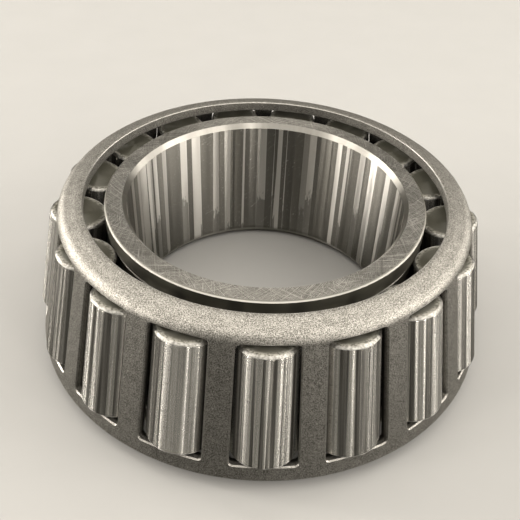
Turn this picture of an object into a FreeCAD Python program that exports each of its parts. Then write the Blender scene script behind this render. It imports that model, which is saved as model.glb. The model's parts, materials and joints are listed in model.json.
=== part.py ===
import FreeCAD, Part

import math
import os

# Single-row tapered roller bearing: the inner ring, its pressed-steel cage and its set of tapered
# rollers. Units are millimetres. The origin is the centre of the ring's back face, on the surface that
# the bearing stands on, and +Z runs along the bore towards the small end of the rollers.
#
# The roller axis, the raceway and the outer envelope of the rollers are cones that share one apex high
# up on the bore axis, which is what lets the rollers roll without slipping. Distances called "reach"
# are measured from that apex, along the direction named.

# ---- driving dimensions -------------------------------------------------------------------------

BORE_RADIUS = 66.675 / 2
RING_WIDTH = 38.354
ROLLER_COUNT = 17
FIRST_ROLLER_DEG = -87.65

APEX_Z = 263.3
ENVELOPE_DEG = 12.7
ROLLER_HALF_DEG = 1.66
AXIS_DEG = ENVELOPE_DEG - ROLLER_HALF_DEG
RACEWAY_DEG = ENVELOPE_DEG - 2 * ROLLER_HALF_DEG

LARGE_END_Z = 6.7
SMALL_END_Z = 34.6
ROLLER_CORNER = 0.8
DIMPLE_SHARE = 0.62
DIMPLE_DEPTH = 0.3
DIMPLE_SLOPE = 0.5

RUNNING_GAP = 0.08
SMALL_RIB_GAP = 0.5

SMALL_RIB_RADIUS = 38.5
LARGE_RIB_RADIUS = 47.8
BACK_FILLET = 3.5
BORE_CHAMFER_WIDTH = 0.95
BORE_CHAMFER_HEIGHT = 1.25
FRONT_EDGE_BREAK = 0.45
RIB_EDGE_BREAK = 0.4
BACK_EDGE_BREAK = 0.8
UNDERCUT_WIDTH = 1.2
UNDERCUT_DEPTH = 0.35

CAGE_SHEET = 2.4
CAGE_BOTTOM_Z = 3.5
CAGE_BOTTOM_RADIUS = 57.05
CAGE_WALL_DEG = 13.0
CAGE_TOP_Z = 39.9
LIP_RADIUS = 43.3
LIP_WIDTH = 1.2
LIP_BEND = 4.0
SHOULDER_DEG = 15.0
SHOULDER_BEND = 3.0
CAGE_EDGE_BREAK = 0.35
LIP_EDGE_BREAK = 0.15

POCKET_BOTTOM_Z = 7.5
POCKET_TOP_Z = 36.9
POCKET_BOTTOM_WIDTH = 14.7
POCKET_TOP_WIDTH = 12.8
POCKET_CORNER = 0.9
POCKET_BEVEL = 0.25
COINING_GAP = 0.14
PUNCH_INSIDE = 3 * CAGE_SHEET
PUNCH_LENGTH = 5 * CAGE_SHEET
ON_WALL_TOLERANCE = 0.3 * CAGE_SHEET

# ---- helpers ------------------------------------------------------------------------------------

NEARLY_ONE = 1 - 1e-6
Z_AXIS = FreeCAD.Vector(0, 0, 1)
ORIGIN = FreeCAD.Vector(0, 0, 0)


def rad(degrees):
    return math.radians(degrees)


def at_reach(reach, degrees):
    """The (radius, z) of a point at a distance from the apex, down a line at an angle to the axis."""
    return reach * math.sin(rad(degrees)), APEX_Z - reach * math.cos(rad(degrees))


def vec(point):
    """A (radius, z) pair as a point of the XZ half-plane."""
    return FreeCAD.Vector(point[0], 0, point[1])


def line(a, b):
    return Part.LineSegment(vec(a), vec(b)).toShape()


def arc(a, middle, b):
    return Part.Arc(vec(a), vec(middle), vec(b)).toShape()


def spin(edges):
    """A solid of revolution about Z from the closed outline that the edges make."""
    outline = Part.Wire(Part.__sortEdges__(edges))
    return Part.Face(outline).revolve(ORIGIN, Z_AXIS, 360)


def polar(centre, radius, degrees):
    return (
        centre[0] + radius * math.cos(rad(degrees)),
        centre[1] + radius * math.sin(rad(degrees)),
    )


def export(shape, name):
    shape.exportStep(os.path.join("parts", name + ".step"))


# ---- roller -------------------------------------------------------------------------------------

LARGE_REACH = (APEX_Z - LARGE_END_Z) / math.cos(rad(AXIS_DEG))
SMALL_REACH = (APEX_Z - SMALL_END_Z) / math.cos(rad(AXIS_DEG))


def roller_radius(reach):
    """The rolling surface's radius at a distance from the apex along the roller's own axis."""
    return reach * math.tan(rad(ROLLER_HALF_DEG))


def roller_edges(extra=0.0):
    """The outline of half a roller, as (radius, z) with the apex at z = 0 and the roller below it.

    The large end is part of a sphere about the apex, so that it runs true on the ring's large rib, and
    has a shallow dimple at its middle. extra makes the roller fatter and longer all round and leaves the
    dimple out, for the space that a pocket gives it.
    """
    corner = ROLLER_CORNER
    cut = corner * (1 - math.cos(rad(45)))
    top = -(SMALL_REACH - extra)
    bottom_reach = LARGE_REACH + extra
    small = roller_radius(SMALL_REACH) + extra
    large = roller_radius(LARGE_REACH) + extra
    rim_radius = large - corner
    rim_z = -math.sqrt(bottom_reach**2 - rim_radius**2)
    side_top = (small + corner * math.tan(rad(ROLLER_HALF_DEG)), top - corner)
    side_bottom = (large - corner * math.tan(rad(ROLLER_HALF_DEG)), rim_z + corner)
    top_rim = (small - corner, top)
    bottom_rim = (rim_radius, rim_z)
    axis_top = (0, top)
    edges = [
        line(axis_top, top_rim),
        arc(top_rim, (small - cut, top - cut), side_top),
        line(side_top, side_bottom),
        arc(side_bottom, (large - cut, rim_z + cut), bottom_rim),
    ]
    if extra:
        axis_bottom = (0, -bottom_reach)
        edges.append(line(bottom_rim, axis_bottom))
    else:
        dimple_radius = large * DIMPLE_SHARE
        dimple_rim = (dimple_radius, -math.sqrt(bottom_reach**2 - dimple_radius**2))
        dimple_floor = (dimple_radius - DIMPLE_SLOPE, dimple_rim[1] + DIMPLE_DEPTH)
        middle_radius = (dimple_radius + rim_radius) / 2
        on_sphere = (middle_radius, -math.sqrt(bottom_reach**2 - middle_radius**2))
        axis_bottom = (0, dimple_floor[1])
        edges.append(arc(bottom_rim, on_sphere, dimple_rim))
        edges.append(line(dimple_rim, dimple_floor))
        edges.append(line(dimple_floor, axis_bottom))
    edges.append(line(axis_bottom, axis_top))
    return edges


def placed_roller(shape, number):
    """A roller, made with the apex at z = 0, hung from the apex at its place around the ring."""
    placed = shape.copy()
    placed.rotate(ORIGIN, FreeCAD.Vector(0, 1, 0), -AXIS_DEG)
    placed.translate(FreeCAD.Vector(0, 0, APEX_Z))
    placed.rotate(ORIGIN, Z_AXIS, FIRST_ROLLER_DEG + number * 360 / ROLLER_COUNT)
    return placed


# ---- inner ring ---------------------------------------------------------------------------------


def undercut(corner, along, across):
    """The relief groove in the corner between a raceway and a rib.

    along points from the corner down the raceway and across points up the rib. Returns the edges,
    from the raceway to the rib, and their two end points.
    """
    start = (corner[0] + along[0] * UNDERCUT_WIDTH, corner[1] + along[1] * UNDERCUT_WIDTH)
    deep = (
        corner[0] + along[0] * UNDERCUT_WIDTH / 2 - across[0] * UNDERCUT_DEPTH,
        corner[1] + along[1] * UNDERCUT_WIDTH / 2 - across[1] * UNDERCUT_DEPTH,
    )
    end = (
        corner[0] + across[0] * UNDERCUT_DEPTH / 2,
        corner[1] + across[1] * UNDERCUT_DEPTH / 2,
    )
    return arc(start, deep, end), start, end


def inner_ring():
    race_up = (-math.sin(rad(RACEWAY_DEG)), math.cos(rad(RACEWAY_DEG)))
    race_out = (math.cos(rad(RACEWAY_DEG)), math.sin(rad(RACEWAY_DEG)))
    race_down = (-race_up[0], -race_up[1])

    # the raceway lies the running gap inside the cone that the rollers touch
    def on_raceway(reach):
        point = at_reach(reach, RACEWAY_DEG)
        return point[0] - race_out[0] * RUNNING_GAP, point[1] - race_out[1] * RUNNING_GAP

    # the large rib's face is a cone that touches the rollers' spherical ends halfway up the rib
    rib_top_deg = math.degrees(math.atan(LARGE_RIB_RADIUS / (APEX_Z - LARGE_END_Z)))
    contact_deg = (RACEWAY_DEG + rib_top_deg) / 2
    rib_out = (math.cos(rad(contact_deg)), math.sin(rad(contact_deg)))
    corner_reach = (LARGE_REACH + RUNNING_GAP) / math.cos(rad(contact_deg - RACEWAY_DEG))
    large_corner = on_raceway(corner_reach)
    small_corner = on_raceway(SMALL_REACH / math.cos(rad(ROLLER_HALF_DEG)) - SMALL_RIB_GAP)

    def on_rib(corner, direction, radius):
        step = (radius - corner[0]) / direction[0]
        return radius, corner[1] + direction[1] * step

    small_cut, small_start, small_end = undercut(small_corner, race_down, race_out)
    large_cut, large_start, large_end = undercut(large_corner, race_up, rib_out)
    small_rim = on_rib(small_corner, race_out, SMALL_RIB_RADIUS)
    large_rim = on_rib(large_corner, rib_out, LARGE_RIB_RADIUS - RIB_EDGE_BREAK)

    back_centre = (BORE_RADIUS + BACK_FILLET, BACK_FILLET)
    back_inner = (BORE_RADIUS + BACK_FILLET, 0)
    back_middle = polar(back_centre, BACK_FILLET, 225)
    bore_bottom = (BORE_RADIUS, BACK_FILLET)
    bore_top = (BORE_RADIUS, RING_WIDTH - BORE_CHAMFER_HEIGHT)
    face_inner = (BORE_RADIUS + BORE_CHAMFER_WIDTH, RING_WIDTH)
    face_outer = (SMALL_RIB_RADIUS - FRONT_EDGE_BREAK, RING_WIDTH)
    rim_top = (SMALL_RIB_RADIUS, RING_WIDTH - FRONT_EDGE_BREAK)
    large_side = (LARGE_RIB_RADIUS, large_rim[1] - RIB_EDGE_BREAK)
    back_side = (LARGE_RIB_RADIUS, BACK_EDGE_BREAK)
    back_outer = (LARGE_RIB_RADIUS - BACK_EDGE_BREAK, 0)
    return spin(
        [
            arc(back_inner, back_middle, bore_bottom),
            line(bore_bottom, bore_top),
            line(bore_top, face_inner),
            line(face_inner, face_outer),
            line(face_outer, rim_top),
            line(rim_top, small_rim),
            line(small_rim, small_end),
            small_cut,
            line(small_start, large_start),
            large_cut,
            line(large_end, large_rim),
            line(large_rim, large_side),
            line(large_side, back_side),
            line(back_side, back_outer),
            line(back_outer, back_inner),
        ]
    )


# ---- cage ---------------------------------------------------------------------------------------

WALL_UP = (-math.sin(rad(CAGE_WALL_DEG)), math.cos(rad(CAGE_WALL_DEG)))
WALL_OUT = (math.cos(rad(CAGE_WALL_DEG)), math.sin(rad(CAGE_WALL_DEG)))


def wall_radius(z):
    """The cage's outer radius on its conical wall."""
    return CAGE_BOTTOM_RADIUS - (z - CAGE_BOTTOM_Z) * math.tan(rad(CAGE_WALL_DEG))


def cage_blank():
    """The cage before its pockets are pierced: a cone of sheet with a bent shoulder and a flat lip."""
    lip_corner = (LIP_RADIUS + LIP_WIDTH, CAGE_TOP_Z)
    slope_up = 90 - SHOULDER_DEG

    # the bend's centre is SHOULDER_BEND inside both the sloping shoulder and the wall
    def bend_centre():
        slope = math.tan(rad(SHOULDER_DEG))
        lean = math.tan(rad(CAGE_WALL_DEG))
        shoulder_drop = SHOULDER_BEND / math.cos(rad(SHOULDER_DEG))
        wall_inset = SHOULDER_BEND / math.cos(rad(CAGE_WALL_DEG))
        # shoulder: z = top - slope (r - corner) - drop;  wall: r = base - inset - lean (z - bottom)
        base = CAGE_BOTTOM_RADIUS - wall_inset
        top = CAGE_TOP_Z + slope * lip_corner[0] - shoulder_drop
        radius = (base - lean * (top - CAGE_BOTTOM_Z)) / (1 - lean * slope)
        return radius, top - slope * radius

    centre = bend_centre()
    turns = (slope_up, (slope_up + CAGE_WALL_DEG) / 2, CAGE_WALL_DEG)
    outer_bend = [polar(centre, SHOULDER_BEND, a) for a in turns]
    inner_bend = [polar(centre, SHOULDER_BEND - CAGE_SHEET, a) for a in turns]
    lip_centre = (lip_corner[0] - LIP_BEND * math.tan(rad(SHOULDER_DEG / 2)), CAGE_TOP_Z - LIP_BEND)
    lip_turns = (90, (90 + slope_up) / 2, slope_up)
    outer_lip = [polar(lip_centre, LIP_BEND, a) for a in lip_turns]
    inner_lip = [polar(lip_centre, LIP_BEND - CAGE_SHEET, a) for a in lip_turns]
    wall_foot = (CAGE_BOTTOM_RADIUS, CAGE_BOTTOM_Z)
    break_up = (
        wall_foot[0] + WALL_UP[0] * CAGE_EDGE_BREAK,
        wall_foot[1] + WALL_UP[1] * CAGE_EDGE_BREAK,
    )
    break_in = (wall_foot[0] - CAGE_EDGE_BREAK, CAGE_BOTTOM_Z)
    foot_inner = (wall_foot[0] - CAGE_SHEET / math.cos(rad(CAGE_WALL_DEG)), CAGE_BOTTOM_Z)
    lip_break = (LIP_RADIUS, CAGE_TOP_Z - LIP_EDGE_BREAK)
    lip_inner = (LIP_RADIUS + LIP_EDGE_BREAK, CAGE_TOP_Z)
    lip_under = (LIP_RADIUS, CAGE_TOP_Z - CAGE_SHEET)
    return spin(
        [
            line(break_in, break_up),
            line(break_up, outer_bend[2]),
            arc(outer_bend[2], outer_bend[1], outer_bend[0]),
            line(outer_bend[0], outer_lip[2]),
            arc(outer_lip[2], outer_lip[1], outer_lip[0]),
            line(outer_lip[0], lip_inner),
            line(lip_inner, lip_break),
            line(lip_break, lip_under),
            line(lip_under, inner_lip[0]),
            arc(inner_lip[0], inner_lip[1], inner_lip[2]),
            line(inner_lip[2], inner_bend[0]),
            arc(inner_bend[0], inner_bend[1], inner_bend[2]),
            line(inner_bend[2], foot_inner),
            line(foot_inner, break_in),
        ]
    )


def pocket_punch():
    """A pocket's prism on the +X side, square to the wall: a trapezium with rounded corners."""
    wall_length = (POCKET_TOP_Z - POCKET_BOTTOM_Z) / math.cos(rad(CAGE_WALL_DEG))
    half_bottom = POCKET_BOTTOM_WIDTH / 2
    half_top = POCKET_TOP_WIDTH / 2
    foot = FreeCAD.Vector(wall_radius(POCKET_BOTTOM_Z), 0, POCKET_BOTTOM_Z)
    up = FreeCAD.Vector(WALL_UP[0], 0, WALL_UP[1])
    out = FreeCAD.Vector(WALL_OUT[0], 0, WALL_OUT[1])
    side = FreeCAD.Vector(0, 1, 0)
    start = foot - out * PUNCH_INSIDE
    corners = [
        start - side * half_bottom,
        start + side * half_bottom,
        start + side * half_top + up * wall_length,
        start - side * half_top + up * wall_length,
    ]
    outline = Part.makePolygon(corners + corners[:1])
    prism = Part.Face(outline).extrude(out * PUNCH_LENGTH)
    long_edges = [e for e in prism.Edges if abs(e.tangentAt(e.FirstParameter).dot(out)) > NEARLY_ONE]
    return prism.makeFillet(POCKET_CORNER, long_edges)


def around(shape, number):
    """A shape made on the +X side, turned to its place around the ring, in roller pitches."""
    placed = shape.copy()
    placed.rotate(ORIGIN, Z_AXIS, FIRST_ROLLER_DEG + number * 360 / ROLLER_COUNT)
    return placed


def on_outside(edge):
    """Does an edge lie on the outer surface of the cage's wall, clear of the bottom edge?"""
    for parameter in (edge.FirstParameter, edge.LastParameter):
        point = edge.valueAt(parameter)
        outward = math.hypot(point.x, point.y) - wall_radius(point.z)
        if abs(outward) > ON_WALL_TOLERANCE or point.z < CAGE_BOTTOM_Z + 2 * CAGE_EDGE_BREAK:
            return False
    return True


def cage():
    """The blank, pierced by one pocket for each roller, each coined to the roller that it holds."""
    blank = around(cage_blank(), 0.5)
    pierced = blank.cut([around(pocket_punch(), n) for n in range(ROLLER_COUNT)])
    rims = [e for e in pierced.Edges if on_outside(e) and e.Length < RING_WIDTH]
    bevelled = pierced.makeChamfer(POCKET_BEVEL, rims)
    coin = spin(roller_edges(COINING_GAP))
    return bevelled.cut([placed_roller(coin, n) for n in range(ROLLER_COUNT)])


# ---- build --------------------------------------------------------------------------------------


def main():
    os.makedirs("parts", exist_ok=True)
    export(inner_ring(), "inner_ring")
    export(cage(), "cage")
    roller = spin(roller_edges())
    for number in range(ROLLER_COUNT):
        export(placed_roller(roller, number), "roller_%02d" % (number + 1))


main()
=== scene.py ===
"""Looks for the cone assembly of a tapered roller bearing: steel finishes, studio and camera.

Lengths are metres unless a name says otherwise. The bearing's axis is +Z and it stands on the floor, at
Z = 0. The finishes work in millimetres, measured from each part's own origin.
"""

import json
import math

import bpy
from mathutils import Matrix, Vector


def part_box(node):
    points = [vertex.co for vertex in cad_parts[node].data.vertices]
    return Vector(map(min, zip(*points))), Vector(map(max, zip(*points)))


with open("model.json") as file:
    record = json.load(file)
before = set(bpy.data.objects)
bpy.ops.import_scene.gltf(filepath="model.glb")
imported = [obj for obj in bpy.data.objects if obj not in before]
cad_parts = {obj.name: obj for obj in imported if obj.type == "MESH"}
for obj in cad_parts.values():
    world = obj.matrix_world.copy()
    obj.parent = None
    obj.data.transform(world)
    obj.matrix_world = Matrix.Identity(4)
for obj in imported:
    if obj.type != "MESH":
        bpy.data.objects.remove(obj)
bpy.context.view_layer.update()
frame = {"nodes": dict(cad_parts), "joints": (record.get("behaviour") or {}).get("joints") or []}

MM = 0.001

# The view: a phone held close above the near side of the bearing, tipped down and turned slightly.
CAMERA_BACK = 0.14172
CAMERA_HEIGHT = 0.13527
CAMERA_PITCH_DEG = 39.829
CAMERA_YAW_DEG = -0.274
CAMERA_ROLL_DEG = 2.611
CAMERA_LENS_MM = 48.915
CAMERA_SENSOR_MM = 36.0
CAMERA_NEAR = 0.001

# The studio: a pale floor, a pale round wall that curves up out of it, a large soft light overhead and a
# ring of upright lights.
FLOOR_SIZE = 12.0
FLOOR_COLOUR = (0.24, 0.237, 0.228)
WALL_RADIUS = 1.6
WALL_CURVE = 0.8
WALL_HEIGHT = 2.2
WALL_SEGMENTS = 96
CURVE_SEGMENTS = 12
FLOOR_GAP = 0.001
# The paint has its own colour up to the first distance and a deeper one from the second on.
EVEN_FLOOR_MM = 250.0
DEEP_FLOOR_MM = 1400.0
DEEP_FLOOR_COLOUR = (0.10, 0.099, 0.096)
SKY_COLOUR = (0.080, 0.076, 0.061)
STUDIO_CENTRE = Vector((0.0, 0.0, 0.03))
STRIP_DISTANCE = 2.4
STRIP_WATTS_PER_SQUARE_METRE = 45.0
LIGHT_COLOUR = (1.0, 0.95, 0.88)
# Each strip: its direction seen from the bearing, how wide it looks, where it starts and stops in height,
# all in degrees, and its brightness. The narrow ones draw the bright lines in the steel, and the wide weak
# ones fill in between them.
STRIPS = (
    (-75, 2, 2, 36, 2.8),
    (-48, 3, 2, 36, 1.5),
    (-30, 2, 2, 36, 1.7),
    (-12, 3, 2, 36, 1.7),
    (0, 4, 2, 36, 1.6),
    (31, 3, 2, 36, 1.4),
    (-149, 4, 2, 36, 1.6),
    (-162, 3, 2, 36, 1.8),
    (169, 6, 2, 36, 2.3),
    (152, 3, 2, 36, 2.4),
    (-36, 22, 2, 36, 0.24),
    (-12, 22, 2, 36, 0.28),
    (12, 22, 2, 36, 0.26),
    (36, 18, 2, 36, 0.28),
    (-147, 18, 2, 36, 0.24),
    (-167, 18, 2, 36, 0.36),
    (173, 18, 2, 36, 0.40),
    (146, 20, 2, 36, 0.50),
)
OVERHEAD_SIZE = 1.7
OVERHEAD_HEIGHT = 1.0
OVERHEAD_ASIDE = 0.12
OVERHEAD_WATTS = 32.0

# How far the cage's outer cone leans in from upright.
CAGE_SLOPE_DEG = 13.0
# The deep walls of the cage's windows, which are painted dark as shade: below the shoulder, and this far in
# from the outer cone.
SHOULDER_MM = (37.4, 37.0)
WINDOW_DEPTH_MM = (0.9, 1.7)

# How far apart the patterns of two rollers are taken from the same noise.
SEED_STEP = 37.0
# A rotation of 0.25 turns the stretched highlight across the tangent, as fine marks round an axis do.
ACROSS = 0.25

# Where a surface of a turned part counts as facing up, out or in: from not at all to fully.
FACES_UP = (0.96, 0.99)
FACES_OUT = (0.9, 0.97)
FACES_IN = (-0.9, -0.97)
# The middle of the range of outward facings that chamfers have, where 0 is a flat face and 1 a wall.
CHAMFER_OUT = 0.6

# Ring colours: turned surfaces; outer chamfer, with a painted highlight on its lower part; outer wall,
# darkened as painted shade; bore, with painted highlight streaks and real scratches; and front face.
TURNED_DARK = (0.28, 0.27, 0.245)
TURNED_PALE = (0.44, 0.425, 0.39)
CHAMFER_TOP = (0.14, 0.135, 0.12)
# Painted highlight: the lower part of the outer chamfer is coloured bright, as a line of light.
CHAMFER_HIGHLIGHT = (0.36, 0.35, 0.32)
# Painted shade: the outward-facing walls, which face the dark gap under the cage, are coloured near black.
RING_WALL_SHADE = (0.085, 0.081, 0.066)
BORE_PLAIN = (0.17, 0.163, 0.145)
# Painted highlight: the bright bore colour stands for reflections of lights along the bore's strips.
BORE_STREAK_HIGHLIGHT = (0.64, 0.62, 0.58)
BORE_SCRATCH = (0.85, 0.83, 0.79)
FACE_SATIN = (0.105, 0.101, 0.089)
FACE_MARK = (0.46, 0.444, 0.41)
# How fast the grinding lines on the ring's front face turn round it on their way out.
FACE_TURNS_PER_MM = 1 / 190

# Cage colours: blasted grain, painted glints, window walls in painted shade, and rubbed edges that are
# partly a painted highlight.
BLASTED_DARK = (0.088, 0.084, 0.073)
BLASTED_PALE = (0.305, 0.293, 0.267)
PAINTED_GLINT = (0.60, 0.58, 0.54)
WINDOW_WALL_SHADE = (0.040, 0.038, 0.032)
RUBBED_AND_HIGHLIT_EDGE = (0.42, 0.41, 0.385)

# Roller colours: ground sides with painted dark and bright reflection streaks, nicks, tumbled corners,
# and ends whose rim is brightened partly by rubbing and partly as a painted highlight.
GROUND_DARK_REFLECTION = (0.13, 0.124, 0.109)
GROUND_BRIGHT_REFLECTION = (0.72, 0.70, 0.654)
NICK = (0.16, 0.15, 0.13)
TUMBLED_DARK = (0.24, 0.232, 0.21)
TUMBLED_BRIGHT = (0.46, 0.447, 0.415)
END_DARK = (0.050, 0.047, 0.036)
END_PALE = (0.095, 0.091, 0.070)
END_RIM_RUBBED_AND_HIGHLIT = (0.32, 0.308, 0.268)
# The rim of a roller's end, brightened partly by rubbing and partly as a painted highlight, by distance
# from the roller's axis.
RUBBED_AND_HIGHLIT_RIM_MM = (4.8, 6.2)


class Finish:
    """A procedural material under construction, ending in one Principled shader."""

    def __init__(self, name, metallic=1.0, anisotropy=0.0):
        self.material = bpy.data.materials.new(name)
        self.material.use_nodes = True
        self.tree = self.material.node_tree
        self.shader = self.tree.nodes["Principled BSDF"]
        self.shader.inputs["Metallic"].default_value = metallic
        self.shader.inputs["Anisotropic"].default_value = anisotropy
        self.shader.inputs["Anisotropic Rotation"].default_value = ACROSS

    def feed(self, socket, value):
        """Links an output into a socket, or sets the socket to a plain value."""
        if isinstance(value, bpy.types.NodeSocket):
            self.tree.links.new(value, socket)
        elif socket.type == "RGBA" and len(value) == 3:
            socket.default_value = (*value, 1.0)
        else:
            socket.default_value = value

    def add(self, kind, inputs=(), output=0, **settings):
        """Adds a node and returns one output. inputs is a dictionary of socket name or number to value."""
        node = self.tree.nodes.new("ShaderNode" + kind)
        for key, value in settings.items():
            setattr(node, key, value)
        for key, value in dict(inputs).items():
            self.feed(node.inputs[key], value)
        return node.outputs[output]

    def surface(self, **inputs):
        """Feeds the shader's sockets; underscores stand for spaces."""
        for key, value in inputs.items():
            self.feed(self.shader.inputs[key.replace("_", " ")], value)

    def math(self, operation, a, b=0.0):
        return self.add("Math", {0: a, 1: b}, operation=operation)

    def vector(self, operation, a, b=(0.0, 0.0, 0.0)):
        output = "Value" if operation in ("DOT_PRODUCT", "LENGTH") else "Vector"
        return self.add("VectorMath", {0: a, 1: b}, output, operation=operation)

    def scaled(self, vector, factor):
        return self.add("VectorMath", {0: vector, "Scale": factor}, operation="SCALE")

    def step(self, value, low, high, low_result=0.0, high_result=1.0):
        """Goes smoothly from one result to the other as value goes from low to high."""
        inputs = {0: value, 1: low, 2: high, 3: low_result, 4: high_result}
        return self.add("MapRange", inputs, interpolation_type="SMOOTHSTEP")

    def noise(self, place, scale, detail=2.0, roughness=0.5):
        inputs = {"Vector": place, "Scale": scale, "Detail": detail, "Roughness": roughness}
        return self.add("TexNoise", inputs)

    def mix(self, share, a, b):
        """A number between a and b."""
        return self.add("Mix", {0: share, 2: a, 3: b}, data_type="FLOAT")

    def tint(self, share, a, b):
        """A colour between a and b."""
        return self.add("Mix", {0: share, 6: a, 7: b}, 2, data_type="RGBA")

    def combine(self, x, y, z):
        return self.add("CombineXYZ", {0: x, 1: y, 2: z})

    def place_mm(self):
        """The point's place in its own part, in millimetres, which stays with the part as it moves."""
        return self.scaled(self.add("TexCoord", output="Object"), 1.0 / MM)

    def bump(self, height_mm):
        """A normal tilted by a height in millimetres."""
        return self.add("Bump", {"Height": height_mm, "Distance": MM})

    def scratches(self, turn_deg, length_mm, width_mm, rarity):
        """Near 1 on long thin marks that lie one way, and 0 between them."""
        turn = tuple(math.radians(a) for a in turn_deg)
        size = (length_mm, width_mm, width_mm)
        inputs = {"Vector": self.place_mm(), "Rotation": turn, "Scale": size}
        place = self.add("Mapping", inputs, vector_type="TEXTURE")
        return self.step(self.noise(place, 1.0, 1.0), rarity, rarity + 0.04)

    def edge(self, radius_mm):
        """Near 1 on sharp edges and 0 on open surface."""
        rounded = self.add("Bevel", {"Radius": radius_mm * MM}, samples=4)
        flat = self.add("NewGeometry", output="Normal")
        return self.step(self.vector("DOT_PRODUCT", rounded, flat), 0.995, 0.90)


class Polar:
    """Cylinder coordinates of a turned part: distance from its axis, height along it, direction round it."""

    def __init__(self, finish, origin_mm=(0, 0, 0), axis=(0, 0, 1), seed=0):
        self.finish = finish
        self.seed = seed
        self.axis = Vector(axis).normalized()
        side = self.axis.cross(Vector((0.0, 1.0, 0.0))).normalized()
        self.offset = finish.vector("SUBTRACT", finish.place_mm(), origin_mm)
        x = finish.vector("DOT_PRODUCT", self.offset, side)
        y = finish.vector("DOT_PRODUCT", self.offset, self.axis.cross(side))
        self.height = finish.vector("DOT_PRODUCT", self.offset, self.axis)
        across = finish.combine(x, y, 0.0)
        self.radius = finish.vector("LENGTH", across)
        self.direction = finish.vector("NORMALIZE", across)

    def unrolled(self, round_scale, along):
        """A place for noise to be taken from, which runs round the axis without a seam and on by along."""
        finish = self.finish
        ring = finish.scaled(self.direction, round_scale)
        return finish.vector("ADD", ring, finish.combine(0.0, 0.0, along))

    def pattern(self, round_scale, height_scale, radius_scale, detail=2.0):
        """Noise stretched along whichever of the three directions has the smaller scale."""
        finish = self.finish
        along = finish.math("ADD", finish.math("MULTIPLY", self.height, height_scale),
                            finish.math("MULTIPLY", self.radius, radius_scale))
        along = finish.math("ADD", along, SEED_STEP * self.seed)
        return finish.noise(self.unrolled(round_scale, along), 1.0, detail)

    def twisted(self, turns_per_mm, scale, detail=2.0):
        """Noise in lines that cross a face at a slant, as grinding marks do."""
        finish = self.finish
        angle = finish.math("MULTIPLY", self.radius, turns_per_mm * math.tau)
        inputs = {"Vector": self.direction, "Angle": angle}
        turned = finish.add("VectorRotate", inputs, rotation_type="Z_AXIS")
        return finish.noise(turned, scale, detail)

    def facing(self):
        """How far the surface faces up the axis, and how far out from it: two numbers from -1 to 1."""
        finish = self.finish
        normal = finish.add("TexCoord", output="Normal")
        across = finish.math("MULTIPLY", self.radius, finish.vector("LENGTH", normal))
        up = finish.vector("DOT_PRODUCT", normal, tuple(self.axis))
        out = finish.math("DIVIDE", finish.vector("DOT_PRODUCT", normal, self.offset), across)
        lift = finish.math("DIVIDE", finish.math("MULTIPLY", up, self.height), across)
        return up, finish.math("SUBTRACT", out, lift)

    def world(self, direction):
        """A direction of the part as it lies in the world, with a length of one."""
        finish = self.finish
        world = finish.add("VectorTransform", {0: direction},
                           vector_type="VECTOR", convert_from="OBJECT", convert_to="WORLD")
        return finish.vector("NORMALIZE", world)

    def tangent(self):
        """The world direction round the axis at each point."""
        return self.world(self.finish.vector("CROSS_PRODUCT", tuple(self.axis), self.offset))

    def facets(self, round_scale, height_scale):
        """Three numbers from 0 to 1 that are the same all over each of many clean-edged strips."""
        finish = self.finish
        along = finish.math("ADD", finish.math("MULTIPLY", self.height, height_scale), SEED_STEP * self.seed)
        inputs = {"Vector": self.unrolled(round_scale, along), "Scale": 1.0}
        cells = finish.add("TexVoronoi", inputs, "Color", feature="F1")
        return [finish.add("SeparateColor", {0: cells}, output=number) for number in range(3)]

    def tipped(self, normal, waves, depth):
        """The normal, tipped round the axis by waves, a number near 0.5."""
        finish = self.finish
        around = finish.math("MULTIPLY", finish.math("SUBTRACT", waves, 0.5), depth)
        shift = finish.scaled(self.tangent(), around)
        return finish.vector("NORMALIZE", finish.vector("ADD", normal, shift))


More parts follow.
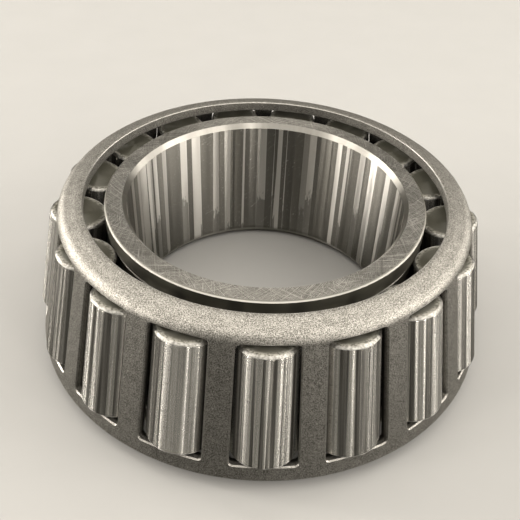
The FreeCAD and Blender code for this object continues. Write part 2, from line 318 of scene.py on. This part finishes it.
def ring_steel():
    """Ground bearing steel: a streaked bore and bright chamfers, and a satin face with crossing marks.

    The bright streaks in the bore and the bright band low on the outer chamfer are painted highlights, and
    the dark outer walls are painted shade.
    """
    finish = Finish("ring_steel", anisotropy=1.0)
    polar = Polar(finish)
    face_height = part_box("inner_ring")[1][2] / MM
    up, out = polar.facing()
    face = finish.step(up, *FACES_UP)
    bore = finish.step(out, *FACES_IN)
    wall = finish.step(out, *FACES_OUT)
    streaks = polar.pattern(26.0, 0.02, 0.0, 3.0)
    grooves = polar.pattern(2.0, 14.0, 14.0, 3.0)
    tone = finish.math("ADD", finish.math("MULTIPLY", grooves, 0.4), finish.math("MULTIPLY", streaks, 0.6))
    plain = finish.tint(tone, TURNED_DARK, TURNED_PALE)
    from_chamfer = finish.math("ABSOLUTE", finish.math("SUBTRACT", out, CHAMFER_OUT))
    broken = finish.step(from_chamfer, 0.3, 0.2)
    # Painted highlight: a bright band on the lower part of the outer chamfer.
    highlit_band = finish.step(polar.height, face_height - 0.12, face_height - 0.28)
    plain = finish.tint(broken, plain, finish.tint(highlit_band, CHAMFER_TOP, CHAMFER_HIGHLIGHT))
    # Painted shade on the outward-facing walls.
    plain = finish.tint(wall, plain, RING_WALL_SHADE)

    tilt, shine, ending = polar.facets(20.0, 0.003)
    ragged = finish.math("MULTIPLY", polar.pattern(60.0, 0.4, 0.0), 12.0)
    above = finish.math("ADD", polar.height, ragged)
    above = finish.math("SUBTRACT", above, finish.math("MULTIPLY", ending, 24.0))
    reach = finish.step(above, 0.0, 2.0, 0.25, 1.0)
    # Painted highlight streaks down the bore, over the real tilt of each strip; the scratches are real
    # marks.
    streak_highlight = finish.math("MULTIPLY", finish.step(shine, 0.58, 0.72), reach)
    scratched = finish.math("MAXIMUM", finish.scratches((0, -45, 0), 9.0, 0.14, 0.70),
                            finish.scratches((0, -20, 30), 7.0, 0.12, 0.72))
    bore_streaks_and_scratches = finish.tint(streak_highlight, BORE_PLAIN, BORE_STREAK_HIGHLIGHT)
    bore_streaks_and_scratches = finish.tint(finish.math("MULTIPLY", scratched, 0.5), bore_streaks_and_scratches, BORE_SCRATCH)

    clockwise = polar.twisted(FACE_TURNS_PER_MM, 300.0, 1.0)
    anticlockwise = polar.twisted(-FACE_TURNS_PER_MM, 300.0, 1.0)
    hatch = finish.step(finish.math("MAXIMUM", clockwise, anticlockwise), 0.50, 0.80)
    for turn in (15, 52, 98, 140):
        scored = finish.scratches((0, 0, turn), 6.0, 0.13, 0.66)
        hatch = finish.math("MAXIMUM", hatch, finish.math("MULTIPLY", scored, 0.75))
    side = finish.step(finish.math("SUBTRACT", clockwise, anticlockwise), -0.15, 0.15, 0.125, 0.375)
    satin = finish.tint(hatch, FACE_SATIN, FACE_MARK)

    smooth = finish.mix(bore, finish.mix(wall, 0.46, 0.36), finish.step(streaks, 0.3, 0.7, 0.32, 0.38))
    turned = finish.step(from_chamfer, 0.2, 0.3, 0.0, ACROSS)
    relief = finish.math("MULTIPLY", face, finish.math("MULTIPLY", hatch, 0.006))
    finish.surface(
        Base_Color=finish.tint(face, finish.tint(bore, plain, bore_streaks_and_scratches), satin),
        Roughness=finish.mix(face, smooth, finish.mix(hatch, 0.38, 0.32)),
        Normal=polar.tipped(finish.bump(relief), tilt, finish.math("MULTIPLY", bore, 0.16)),
        Tangent=polar.tangent(),
        Anisotropic_Rotation=finish.mix(face, turned, side),
    )
    return finish.material


def cage_steel():
    """Blasted pressed steel: matt, with a fine grain dotted with painted glints, and bright along its
    punched edges from rubbing and a painted highlight; its deep window walls are in painted shade.
    """
    finish = Finish("cage_steel")
    polar = Polar(finish)
    _, out = polar.facing()
    lowest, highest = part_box("cage")
    slope = math.tan(math.radians(CAGE_SLOPE_DEG))
    lean = finish.math("MULTIPLY", finish.math("SUBTRACT", polar.height, lowest[2] / MM), slope)
    depth = finish.math("SUBTRACT", finish.math("SUBTRACT", highest[0] / MM, lean), polar.radius)
    punched = finish.math("MULTIPLY", finish.step(finish.math("ABSOLUTE", out), 0.6, 0.4),
                          finish.step(polar.height, *SHOULDER_MM))
    punched = finish.math("MULTIPLY", punched, finish.step(depth, *WINDOW_DEPTH_MM))
    place = finish.place_mm()
    grain = finish.noise(place, 4.8, 1.0, 0.6)
    # Painted glints: small bright specks in the grain's colour.
    glints = finish.step(finish.noise(place, 3.8, 0.0), 0.68, 0.80)
    cloud = finish.noise(place, 0.5, 3.0)
    # The bright edges are partly rubbing and partly a painted highlight.
    edge = finish.edge(0.25)
    tone = finish.step(finish.math("ADD", grain, finish.math("MULTIPLY", cloud, 0.2)), 0.42, 0.78)
    matt = finish.tint(tone, BLASTED_DARK, BLASTED_PALE)
    matt = finish.tint(finish.math("MULTIPLY", glints, 0.4), matt, PAINTED_GLINT)
    # Painted shade on the deep window walls.
    matt = finish.tint(punched, matt, WINDOW_WALL_SHADE)
    finish.surface(
        Base_Color=finish.tint(edge, matt, RUBBED_AND_HIGHLIT_EDGE),
        Roughness=finish.mix(edge, finish.mix(grain, 0.56, 0.48), 0.30),
        Normal=finish.bump(finish.math("MULTIPLY", grain, 0.015)),
    )
    return finish.material


def roller_steel(name, joint, seed):
    """Finely ground steel, with marks round the roller's own axis, tumbled corners and duller ends.

    The dark and bright streaks along the sides are painted reflections, and the brighter rim of the end is
    partly rubbing and partly a painted highlight.
    """
    finish = Finish(name, anisotropy=1.0)
    origin_mm = tuple(p / MM for p in joint["pos_m"])
    polar = Polar(finish, origin_mm, joint["axis"], seed)
    up, out = polar.facing()
    side = finish.step(out, *FACES_OUT)
    end = finish.step(finish.math("ABSOLUTE", up), 0.93, 0.98)
    corner = finish.math("SUBTRACT", 1.0, finish.math("MAXIMUM", side, end))
    streaks = finish.step(polar.pattern(16.0, 0.02, 0.0, 2.0), 0.32, 0.68)
    grooves = polar.pattern(1.0, 12.0, 12.0, 3.0)
    dents = finish.noise(finish.place_mm(), 1.8, 3.0)
    tilt, shine, _ = polar.facets(5.0, 0.003)
    nicks = finish.step(polar.pattern(5.0, 6.0, 0.0, 1.0), 0.66, 0.70)
    # Painted reflections: the sides' dark and bright streaks are coloured in, over the real tilt of each
    # strip.
    tone = finish.mix(0.68, streaks, finish.step(shine, 0.42, 0.58))
    ground = finish.tint(tone, GROUND_DARK_REFLECTION, GROUND_BRIGHT_REFLECTION)
    ground = finish.tint(finish.math("MULTIPLY", nicks, 0.6), ground, NICK)
    tumbled = finish.tint(finish.step(dents, 0.35, 0.65), TUMBLED_DARK, TUMBLED_BRIGHT)
    ground = finish.tint(corner, ground, tumbled)
    dull = finish.tint(grooves, END_DARK, END_PALE)
    # The end's brighter rim is partly rubbing and partly a painted highlight.
    rim = finish.step(polar.radius, *RUBBED_AND_HIGHLIT_RIM_MM)
    rubbed = finish.math("MULTIPLY", rim, finish.step(dents, 0.35, 0.60))
    dull = finish.tint(rubbed, dull, END_RIM_RUBBED_AND_HIGHLIT)
    relief = finish.math("MULTIPLY", corner, finish.math("MULTIPLY", dents, 0.15))
    smooth = finish.mix(side, 0.42, finish.mix(streaks, 0.22, 0.26))
    finish.surface(
        Base_Color=finish.tint(end, ground, dull),
        Metallic=finish.mix(end, 0.92, 0.25),
        Roughness=finish.mix(end, smooth, 0.62),
        Normal=polar.tipped(finish.bump(relief), tilt, finish.math("MULTIPLY", side, 0.08)),
        Tangent=polar.tangent(),
    )
    return finish.material


def floor_paint():
    """Pale matt paint with a barely visible mottle, deeper towards the lights so that it looks even."""
    finish = Finish("floor_paint", metallic=0.0)
    mottle = finish.noise(finish.place_mm(), 0.05, 3.0)
    darker = tuple(0.94 * c for c in FLOOR_COLOUR)
    near = finish.tint(mottle, darker, FLOOR_COLOUR)
    away = finish.vector("LENGTH", finish.place_mm())
    colour = finish.tint(finish.step(away, EVEN_FLOOR_MM, DEEP_FLOOR_MM), near, DEEP_FLOOR_COLOUR)
    finish.surface(Base_Color=colour, Roughness=0.9)
    return finish.material


def wear(obj, material):
    """Gives a CAD node its finish."""
    obj.data.materials.clear()
    obj.data.materials.append(material)


def add_object(name, data):
    obj = bpy.data.objects.new(name, data)
    bpy.context.scene.collection.objects.link(obj)
    return obj


def add_floor(paint):
    half = FLOOR_SIZE / 2
    mesh = bpy.data.meshes.new("floor")
    corners = [(-half, -half, 0.0), (half, -half, 0.0), (half, half, 0.0), (-half, half, 0.0)]
    mesh.from_pydata(corners, [], [(0, 1, 2, 3)])
    mesh.materials.append(paint)
    floor = add_object("floor", mesh)
    floor.visible_glossy = False


def add_wall(paint):
    """A round wall that curves up out of the floor.

    Only the camera sees it, so that the steel still mirrors a dark room.
    """
    profile = []
    for step in range(CURVE_SEGMENTS + 1):
        angle = math.pi / 2 * step / CURVE_SEGMENTS
        out = WALL_RADIUS - WALL_CURVE * (1 - math.sin(angle))
        profile.append((out, FLOOR_GAP + WALL_CURVE * (1 - math.cos(angle))))
    profile.append((WALL_RADIUS, WALL_HEIGHT))
    points = []
    faces = []
    for turn in range(WALL_SEGMENTS):
        angle = math.tau * turn / WALL_SEGMENTS
        points += [(out * math.cos(angle), out * math.sin(angle), up) for out, up in profile]
        here = turn * len(profile)
        beside = (turn + 1) % WALL_SEGMENTS * len(profile)
        for step in range(len(profile) - 1):
            faces.append((here + step, beside + step, beside + step + 1, here + step + 1))
    mesh = bpy.data.meshes.new("wall")
    mesh.from_pydata(points, [], faces)
    mesh.shade_smooth()
    mesh.materials.append(paint)
    wall = add_object("wall", mesh)
    wall.visible_glossy = False
    wall.visible_diffuse = False
    wall.visible_shadow = False


def aim(obj, place, target):
    """Puts a light at a place and points it at a target."""
    obj.location = place
    obj.rotation_euler = (target - place).to_track_quat("-Z", "Y").to_euler()


def add_area_light(name, place, target, width, height, watts):
    light = bpy.data.lights.new(name, "AREA")
    light.shape = "RECTANGLE"
    light.size = width
    light.size_y = height
    light.energy = watts
    light.color = LIGHT_COLOUR
    obj = add_object(name, light)
    obj.visible_camera = False
    aim(obj, place, target)


def add_strip(name, azimuth_deg, looks_deg, low_deg, high_deg, brightness):
    """One upright strip light, given by how it looks from the bearing."""
    azimuth = math.radians(azimuth_deg)
    bottom = STRIP_DISTANCE * math.tan(math.radians(low_deg))
    top = STRIP_DISTANCE * math.tan(math.radians(high_deg))
    width = STRIP_DISTANCE * math.radians(looks_deg)
    place = STUDIO_CENTRE + Vector((
        STRIP_DISTANCE * math.cos(azimuth),
        STRIP_DISTANCE * math.sin(azimuth),
        (bottom + top) / 2,
    ))
    level_target = Vector((STUDIO_CENTRE.x, STUDIO_CENTRE.y, place.z))
    watts = STRIP_WATTS_PER_SQUARE_METRE * width * (top - bottom) * brightness
    add_area_light(name, place, level_target, width, top - bottom, watts)


def add_studio():
    world = bpy.data.worlds.new("studio")
    world.use_nodes = True
    world.node_tree.nodes["Background"].inputs["Color"].default_value = (*SKY_COLOUR, 1.0)
    bpy.context.scene.world = world
    overhead = Vector((OVERHEAD_ASIDE, 0.0, OVERHEAD_HEIGHT))
    add_area_light("overhead", overhead, STUDIO_CENTRE, OVERHEAD_SIZE, OVERHEAD_SIZE, OVERHEAD_WATTS)
    for number, strip in enumerate(STRIPS, 1):
        add_strip(f"strip_{number:02d}", *strip)


def add_camera():
    pitch = math.radians(CAMERA_PITCH_DEG)
    yaw = math.radians(CAMERA_YAW_DEG)
    roll = math.radians(CAMERA_ROLL_DEG)
    ahead = Vector((math.sin(yaw) * math.cos(pitch), math.cos(yaw) * math.cos(pitch), -math.sin(pitch)))
    level = Vector((math.cos(yaw), -math.sin(yaw), 0.0))
    above = level.cross(ahead)
    right = math.cos(roll) * level + math.sin(roll) * above
    up = -math.sin(roll) * level + math.cos(roll) * above
    turn = Matrix((right, up, -ahead)).transposed()
    data = bpy.data.cameras.new("camera")
    data.sensor_width = CAMERA_SENSOR_MM
    data.lens = CAMERA_LENS_MM
    data.clip_start = CAMERA_NEAR
    camera = add_object("camera", data)
    camera.matrix_world = Matrix.Translation((0.0, -CAMERA_BACK, CAMERA_HEIGHT)) @ turn.to_4x4()
    bpy.context.scene.camera = camera


def finish_parts():
    nodes = frame["nodes"]
    wear(nodes["inner_ring"], ring_steel())
    wear(nodes["cage"], cage_steel())
    roller_joints = [j for j in frame["joints"] if j["child"].startswith("roller_")]
    for seed, joint in enumerate(roller_joints):
        roller = joint["child"]
        wear(nodes[roller], roller_steel(roller + "_steel", joint, seed))


bpy.context.scene.view_settings.view_transform = "Standard"
add_camera()
pale_paint = floor_paint()
add_floor(pale_paint)
add_wall(pale_paint)
add_studio()
finish_parts()
